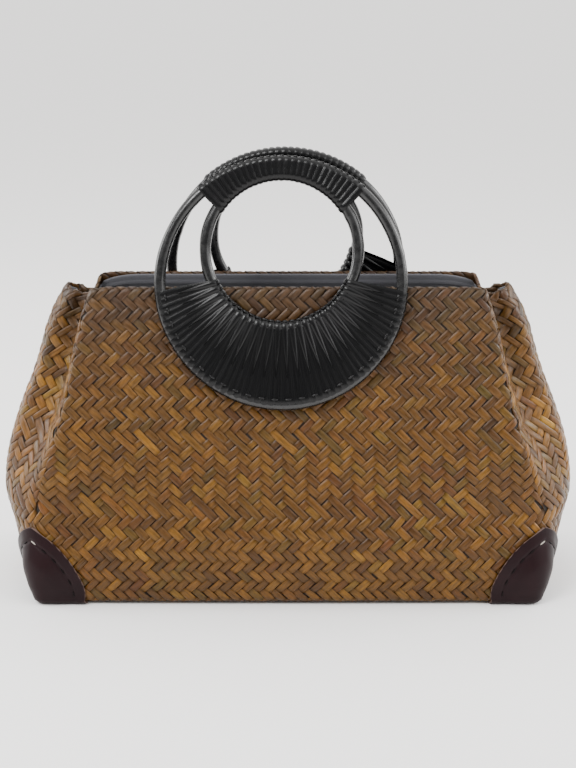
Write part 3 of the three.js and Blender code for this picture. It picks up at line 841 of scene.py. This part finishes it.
# length and thickness of each kind
GRIP_KNOT = (4.2, 1.3)
BEAD = (4.6, 1.7)
DASH = (5.2, 1.8)
FRONT = np.array([0, -1.0, 0])
wrap_radius = CANE / 2 + 0.35
for row in HANDLES:
    turns, knots = [], []
    outer_width = 2 * math.radians(GRIP_OUTER) * OUTER_RADIUS / GRIP_TURNS * GRIP_OVERLAP
    hand_width = 2 * math.radians(GRIP_HAND) * HAND_RADIUS / GRIP_TURNS * GRIP_OVERLAP
    for share in even_shares(GRIP_TURNS):
        a = math.radians(share * GRIP_OUTER)
        h = math.radians(share * GRIP_HAND)
        jitter = random.normal(0, 0.12)
        thickness = GRIP_THICKNESS + random.normal(0, 0.08)
        turns.append(wound_turn(a, h, "outer", GRIP_REACH, [outer_width] * 5, thickness, wrap_radius, jitter))
        turns.append(wound_turn(a, h, "hand", GRIP_REACH, [hand_width] * 5, thickness, wrap_radius, -jitter))
        out = unit(np.array([math.sin(a), 0, math.cos(a)]) * 0.86 + FRONT * 0.5)
        spot = ring_point(OUTER_RADIUS, 0, a) + out * (wrap_radius + 0.35)
        knots.append(knot_at(spot, unit(around_ring(a) + FRONT * 0.35), out, *GRIP_KNOT))
    grip_piece = join_turns(f"{row[0]}_grip_strip", row, turns, knots)
    grip_piece.data.materials.append(lacquered_strip)
    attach(grip_piece, "root")
    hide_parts(f"{row[0]}_grip_wrap")

    turns, knots = [], []
    outer_reach, hand_reach = row[4:]
    outer_arc = math.radians(sum(outer_reach) / 2) * OUTER_RADIUS
    hand_arc = math.radians(sum(hand_reach) / 2) * HAND_RADIUS
    outer_width = outer_arc / CRESCENT_TURNS * CRESCENT_OVERLAP
    hand_width = hand_arc / CRESCENT_TURNS * CRESCENT_OVERLAP
    for share in even_shares(2 * CRESCENT_TURNS):
        a, h = on_crescent(outer_reach, share), on_crescent(hand_reach, share)
        widths = [hand_width, outer_width, outer_width, outer_width, hand_width]
        turns.append(wound_turn(a, h, "outer", UNDER_TURN_REACH, widths, 0.45 + random.normal(0, 0.08),
                                wrap_radius - 0.5, random.normal(0, 0.1)))
    hand_width = 2 * hand_arc / CRESCENT_TURNS
    widths = [TONGUE_TIP, hand_width * 0.66, hand_width * 0.97, hand_width * 0.66, TONGUE_TIP]
    for share in even_shares(CRESCENT_TURNS):
        a, h = on_crescent(outer_reach, share), on_crescent(hand_reach, share)
        turns.append(wound_turn(a, h, "hand", TONGUE_REACH + random.normal(0, 0.02), widths,
                                1.0 + random.normal(0, 0.1), wrap_radius, random.normal(0, 0.3)))
    for share in even_shares(int(2 * hand_arc / BEAD_SPACING)):
        h = on_crescent(hand_reach, share)
        out = -np.array([math.sin(h), 0, math.cos(h)]) * 0.74 + FRONT * 0.67
        spot = ring_point(HAND_RADIUS, HAND_LIFT, h) + out * (wrap_radius + 1.1)
        knots.append(knot_at(spot, unit(around_ring(h) - FRONT * 0.22), out, *BEAD))
    for share in even_shares(int(2 * outer_arc / DASH_SPACING)):
        a = on_crescent(outer_reach, share)
        spot = ring_point(OUTER_RADIUS - DASH_INSET, 0, a) + FRONT * (wrap_radius + 0.75)
        knots.append(knot_at(spot, around_ring(a), FRONT, *DASH))
    crescent_piece = join_turns(f"{row[0]}_crescent_strip", row, turns, knots)
    crescent_piece.data.materials.append(lacquered_strip)
    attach(crescent_piece, "root")
    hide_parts(f"{row[0]}_crescent_wrap")


# Lining: dark plain-woven cloth, cut to the inside of the straw and held by its turned and sewn top edge.
# It ends a little below the mouth, lower at the folded ends, so that a hem of straw shows above it.

LINING_HEM = {"panel": 2.0, "ridge": 9.0, "tuck": 10.0, "shoulder": 4.0, "peak": 3.1}
LINING_OUTER_INSET = 2.75
LINING_INNER_INSET = 3.55
FLAT_EDGE_RISE = 0.93
LOOSE_BELOW = 200
SLACK = 1.4
# inset and distance below the edge, over the turned hem and its sewn line
HEM_LOOPS = [
    (2.72, 6.0), (2.70, 1.0), (2.75, 0.3), (3.1, 0.0), (3.6, 0.0), (4.0, 0.3), (4.15, 1.2),
    (4.1, 3.6), (3.95, 4.2), (4.1, 4.8), (4.1, 7.0), (3.9, 7.6), (3.6, 7.9),
]
hems = np.array([LINING_HEM[name] for name in STATIONS])
smooth_hems = np.concatenate([hems, hems[::-1][1:], hems[1:], hems[::-1][1:-1]])
for _ in range(6):
    smooth_hems = (np.roll(smooth_hems, 1) + smooth_hems * 2 + np.roll(smooth_hems, -1)) / 4


def loose_ring(rise, inset, z, amount):
    """A ring of the cloth where it hangs loose: it comes inwards by up to amount, in soft, broad swells."""
    outer = whole_ring(rise, inset, z)
    deeper = whole_ring(rise, inset + 2.0, z)
    x, y, z = outer.T
    swell = np.sin(x / 23 + z / 31) * np.sin(z / 27 - y / 19 + 1) + 0.6 * np.sin(x / 11 - z / 17 + 2)
    slack = amount * (0.5 + 0.5 * swell / 1.6)
    return outer + (deeper - outer) * (slack / 2.0)[:, None]


def top_ring(inset, below):
    """The lining's edge: some way below the straw's own edge, all round."""
    rim = whole_ring(1.0, inset, RIM_HEIGHT)
    low = whole_ring(FLAT_EDGE_RISE, inset, FLAT_EDGE_RISE * RIM_HEIGHT)
    share = (smooth_hems + below) / ((1 - FLAT_EDGE_RISE) * RIM_HEIGHT)
    return rim + (low - rim) * share[:, None]


lining_heights = np.linspace(6.5, FLAT_EDGE_RISE * RIM_HEIGHT, 40)
loops = [whole_ring(0.02, 5.5, 4.35)]
loops += [whole_ring(z / RIM_HEIGHT, LINING_OUTER_INSET, z) for z in lining_heights]
loops += [top_ring(inset, below) for inset, below in HEM_LOOPS]
loops += [loose_ring(z / RIM_HEIGHT, LINING_INNER_INSET, z, SLACK * min(1, (LOOSE_BELOW - z) / 30))
          for z in lining_heights[::-1] if z < LOOSE_BELOW]
loops += [whole_ring(0.02, 6.5, 5.2)]
lining = closed_skin("lining_cloth", loops)
corners = np.array([lining.data.vertices[loop.vertex_index].co for loop in lining.data.loops])
uv = np.column_stack([corners[:, 0] + corners[:, 1], corners[:, 2]])
lining.data.uv_layers.new(name="cloth_way").data.foreach_set("uv", uv.ravel())
lining_cloth, tree = new_material("dark_plain_woven_lining")
way = add_node(tree, "ShaderNodeUVMap", uv_map="cloth_way").outputs["UV"]
warp, weft = [
    add_node(tree, "ShaderNodeTexWave", {"Vector": way, "Scale": 400.0, "Distortion": 0.4},
             bands_direction=direction).outputs["Fac"] for direction in ("X", "Y")]
threads = calculate(tree, "MULTIPLY", warp, weft)
thread_shade = mix_colour(tree, threads, linear("#47474c"), linear("#76767c"))
add_shader(tree, {"Base Color": thread_shade, "Roughness": 0.92, "IOR": 1.46, "Sheen Weight": 0.25,
                  "Sheen Roughness": 0.5, "Normal": bump(tree, threads, 0.4, 0.0003)})
lining.data.materials.append(lining_cloth)
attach(lining, "root")
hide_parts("lining")


# Leather corners: thin smooth leather stretched over each lower corner, turned under the floor and sewn on by
# hand. A flat border with a paler cut edge runs outside the stitches, and the middle is drawn up full.

CORNER_HEIGHT = 53.0
CORNER_HALF_WIDTH = 36.0
CORNER_NARROWING = 0.1
CORNER_WIDEST = 0.3
BORDER = 8.5
LEATHER_LIFT = 2.05
LEATHER_WALL = 0.0014
GROOVE_DEPTH = 1.0
GROOVE_WIDTH = 0.8
FULLNESS = 1.7
STITCH_SPACING = 9.0
STITCH_LENGTH = 4.6
STITCH_THICK = 1.0
STITCH_LIFT = 1.9


def corner_half_width(up):
    share = np.clip(up / CORNER_HEIGHT, 0, 1)
    foot = np.clip(1 - share / CORNER_WIDEST, 0, 1)
    return CORNER_HALF_WIDTH * (1 - share ** 2.5) ** (1 / 1.2) * (1 - CORNER_NARROWING * foot ** 2)


def by_edge(body, along, up, lift):
    """Points and outward directions near the body's upright edge: along is towards the end when positive."""
    points, outs = 0, 0
    for level, weight in levels_beside(body, up):
        places, directions = places_along(body, level, body["ridge"][level] + along, weight)
        points, outs = points + places, outs + directions
    outs /= np.linalg.norm(outs, axis=1, keepdims=True) + 1e-12
    return points + outs * lift[:, None], outs


leather, tree = new_material("smooth_dark_leather")
place = add_node(tree, "ShaderNodeTexCoord").outputs["Object"]
pore = add_node(tree, "ShaderNodeTexVoronoi", {"Vector": place, "Scale": 900.0}, feature="DISTANCE_TO_EDGE")
crease = noise(tree, place, 60.0, 4.0)
edge = add_node(tree, "ShaderNodeAttribute", attribute_name="from_edge").outputs["Fac"]
cut = map_range(tree, edge, 0.3, 0.55, 1.0, 0.0)
uneven = mix_colour(tree, crease, linear("#12080a"), linear("#200f12"))
worn_edge = mix_colour(tree, cut, uneven, linear("#57463f"))
pore_bump = bump(tree, pore.outputs["Distance"], 0.12, 0.0002)
add_shader(tree, {"Base Color": worn_edge, "Roughness": 0.42, "IOR": 1.5, "Specular IOR Level": 0.11,
                  "Normal": bump(tree, crease, 0.25, 0.001, Normal=pore_bump)})

thread, tree = new_material("waxed_dark_thread")
add_shader(tree, {"Base Color": linear("#0d0808"), "Roughness": 0.6, "Specular IOR Level": 0.1})
pale_thread, tree = new_material("waxed_pale_thread")
add_shader(tree, {"Base Color": linear("#a39c92"), "Roughness": 0.5})

outline_up = np.concatenate([np.linspace(-12, 47, 60), np.linspace(47, CORNER_HEIGHT, 40)])
outline_half = corner_half_width(outline_up)
outline = np.vstack([np.column_stack([half, outline_up]) for half in (outline_half, -outline_half)])
leather_ups = np.concatenate([np.linspace(-10, 2, 9), np.linspace(3.5, 45, 34),
                              CORNER_HEIGHT - np.geomspace(7, 0.3, 14)])
leather_shares = np.sin(np.linspace(-1, 1, 49) * math.pi / 2 * 0.92) / math.sin(math.pi / 2 * 0.92)
columns = len(leather_shares)

# The stitches sit in a pressed line inside the border, and one near the top is of pale thread
line_up = np.linspace(2, CORNER_HEIGHT, 200)
border_line = np.column_stack([corner_half_width(line_up), line_up])
tangent = np.gradient(border_line, axis=0)
tangent /= np.linalg.norm(tangent, axis=1, keepdims=True) + 1e-9
inset_line = border_line - np.abs(tangent[:, ::-1]) * BORDER
inset_line = inset_line[inset_line[:, 0] > 0]
stitch_line = np.vstack([inset_line, inset_line[::-1] * (-1, 1)])
line_way = np.concatenate([[0], np.cumsum(np.linalg.norm(np.diff(stitch_line, axis=0), axis=1))])
stitch_spots = np.arange(5, line_way[-1] - 3, STITCH_SPACING)
pale_stitch = len(stitch_spots) // 2


def stitch_at(body, spot, signs):
    """One stitch along the pressed line, in millimetres."""
    ends = []
    for at in (spot - STITCH_LENGTH / 2, spot + STITCH_LENGTH / 2):
        along, up = [np.array([np.interp(at, line_way, stitch_line[:, k])]) for k in range(2)]
        found, out = by_edge(body, along, up, np.array([STITCH_LIFT]))
        ends.append(found[0] * signs)
    along = ends[1] - ends[0]
    middle = (ends[0] + ends[1]) / 2
    return knot_at(middle, unit(along), out[0] * signs, np.linalg.norm(along), STITCH_THICK)


random = np.random.default_rng(31)
for name, body, sign_x, sign_y in (("front_left", front_body, -1, -1), ("front_right", front_body, 1, -1),
                                   ("back_left", back_body, -1, 1), ("back_right", back_body, 1, 1)):
    ups = np.repeat(leather_ups, columns)
    alongs = np.tile(leather_shares, len(leather_ups)) * corner_half_width(ups)
    gaps = outline[None] - np.column_stack([alongs, ups])[:, None]
    away = np.sqrt((gaps ** 2).sum(axis=2)).min(axis=1)
    groove = np.exp(-((away - BORDER) / GROOVE_WIDTH) ** 2)
    full = np.clip((away - BORDER) / 13, 0, 1)
    full = full * full * (3 - 2 * full) * np.clip((ups + 1) / 12, 0, 1)
    lift = LEATHER_LIFT + 0.25 * np.clip(away / 1.2, 0, 1) - GROOVE_DEPTH * groove + FULLNESS * full
    pleats = np.clip(1 - np.abs(ups - 1.5) / 5, 0, 1)
    lift += pleats * 0.5 * np.abs(np.sin(alongs / 3.1 + random.uniform(0, 6)) * np.sin(alongs / 7.3))
    lift = np.where(ups < 2, LEATHER_LIFT, lift)
    points, _ = by_edge(body, alongs, ups, lift)
    points *= (sign_x, sign_y, 1)
    points[:, 2] = np.maximum(points[:, 2], 0.05)
    faces = []
    for r in range(len(leather_ups) - 1):
        for c in range(columns - 1):
            k = r * columns + c
            face = [k, k + 1, k + columns + 1, k + columns]
            faces.append(face if sign_x * sign_y < 0 else face[::-1])
    made = link_piece(f"corner_leather_{name}", points / 1000, faces)
    from_edge = made.data.attributes.new(name="from_edge", type="FLOAT", domain="POINT")
    from_edge.data.foreach_set("value", away)
    bpy.context.view_layer.objects.active = made
    made.select_set(True)
    wall = made.modifiers.new("wall", "SOLIDIFY")
    wall.thickness = LEATHER_WALL
    wall.offset = -1
    bpy.ops.object.modifier_apply(modifier="wall")
    made.select_set(False)
    made.data.materials.append(leather)
    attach(made, "root")
    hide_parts(f"corner_{name}")

    for label, material in (("dark", thread), ("pale", pale_thread)):
        chosen = [spot for k, spot in enumerate(stitch_spots) if (label == "pale") == (k == pale_stitch)]
        stitch_points = [stitch_at(body, spot, (sign_x, sign_y, 1)) for spot in chosen]
        stitches = link_piece(f"corner_{label}_stitches_{name}", np.vstack(stitch_points) / 1000,
                              faces_of_knots(len(chosen)))
        stitches.data.materials.append(material)
        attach(stitches, "root")


# Tie stitches: pale thread that holds the front handle, seen as three small crossed stitches on the straw
# just inside the lower edge of the hand ring, a little left of the middle. Where else it runs doesn't show.

TIE_LENGTH = 4.2
TIE_THICK = 0.7
# across and up the straw, and which way it slants
TIES = [(-14.5, 199.5, 1), (-12.0, 198.3, 1), (-13.2, 198.9, -1)]
tie_points = []
for across, up, slant in TIES:
    spot, _ = on_body(front_body, np.array([across]), np.array([up]), np.array([1]), np.array([0.9]))
    along = unit(np.array([2.6, 0.0, -3.0 * slant]))
    tie_points.append(knot_at(spot[0] * (1, -1, 1), along, (0, 1, 0), TIE_LENGTH, TIE_THICK))
ties = link_piece("handle_tie_stitches", np.vstack(tie_points) / 1000, faces_of_knots(len(TIES)))
ties.data.materials.append(pale_thread)
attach(ties, "root")


# Studio: a plain pale floor, soft light from above and from the left, and the photograph's camera.

bpy.ops.mesh.primitive_plane_add(size=400, location=(0, 0, 0))
floor = bpy.context.object
floor.name = "studio_floor"
pale, tree = new_material("pale_studio_floor")
add_shader(tree, {"Base Color": linear("#f3f2f1"), "Roughness": 0.9})
floor.data.materials.append(pale)

world = bpy.data.worlds.new("studio")
bpy.context.scene.world = world
world.use_nodes = True
sky = world.node_tree
background = sky.nodes["Background"]
background.inputs["Color"].default_value = linear("#f6f5f4")
look_way = add_node(sky, "ShaderNodeTexCoord").outputs["Generated"]
overhead = add_node(sky, "ShaderNodeVectorMath", {0: look_way, 1: (0, 0.4, 0.92)}, operation="DOT_PRODUCT")
brightness = map_range(sky, overhead.outputs["Value"], -0.3, 1.0, 0.1, 2.9)
look_parts = add_node(sky, "ShaderNodeSeparateXYZ", {"Vector": look_way})
far_edge = map_range(sky, look_parts.outputs["Z"], 0.05, 0.2, 1.1, 0.0)
sky.links.new(calculate(sky, "MAXIMUM", brightness, far_edge), background.inputs["Strength"])


def soft_light(name, place, aim, size, power):
    bpy.ops.object.light_add(type="AREA", location=place)
    lamp = bpy.context.object
    lamp.name = name
    lamp.data.shape = "SQUARE"
    lamp.data.size = size
    lamp.data.energy = power
    lamp.rotation_euler = (Vector(aim) - Vector(place)).to_track_quat("-Z", "Y").to_euler()


soft_light("key_light", (-0.9, -1.1, 1.8), (0, 0, 0.12), 0.8, 38)
soft_light("fill_light", (1.5, -0.8, 1.1), (0, 0, 0.12), 1.2, 16)
soft_light("left_side_light", (-1.5, 0.25, 0.75), (-0.1, 0, 0.12), 0.7, 16)
soft_light("right_side_light", (1.5, 0.25, 0.75), (0.1, 0, 0.12), 0.7, 16)

CAMERA_PITCH = 15.2
bpy.ops.object.camera_add(location=(0, -1.011, 0.4175), rotation=(math.radians(90 - CAMERA_PITCH), 0, 0))
camera = bpy.context.object
camera.data.lens = 66.9
camera.data.sensor_width = 36
bpy.context.scene.camera = camera
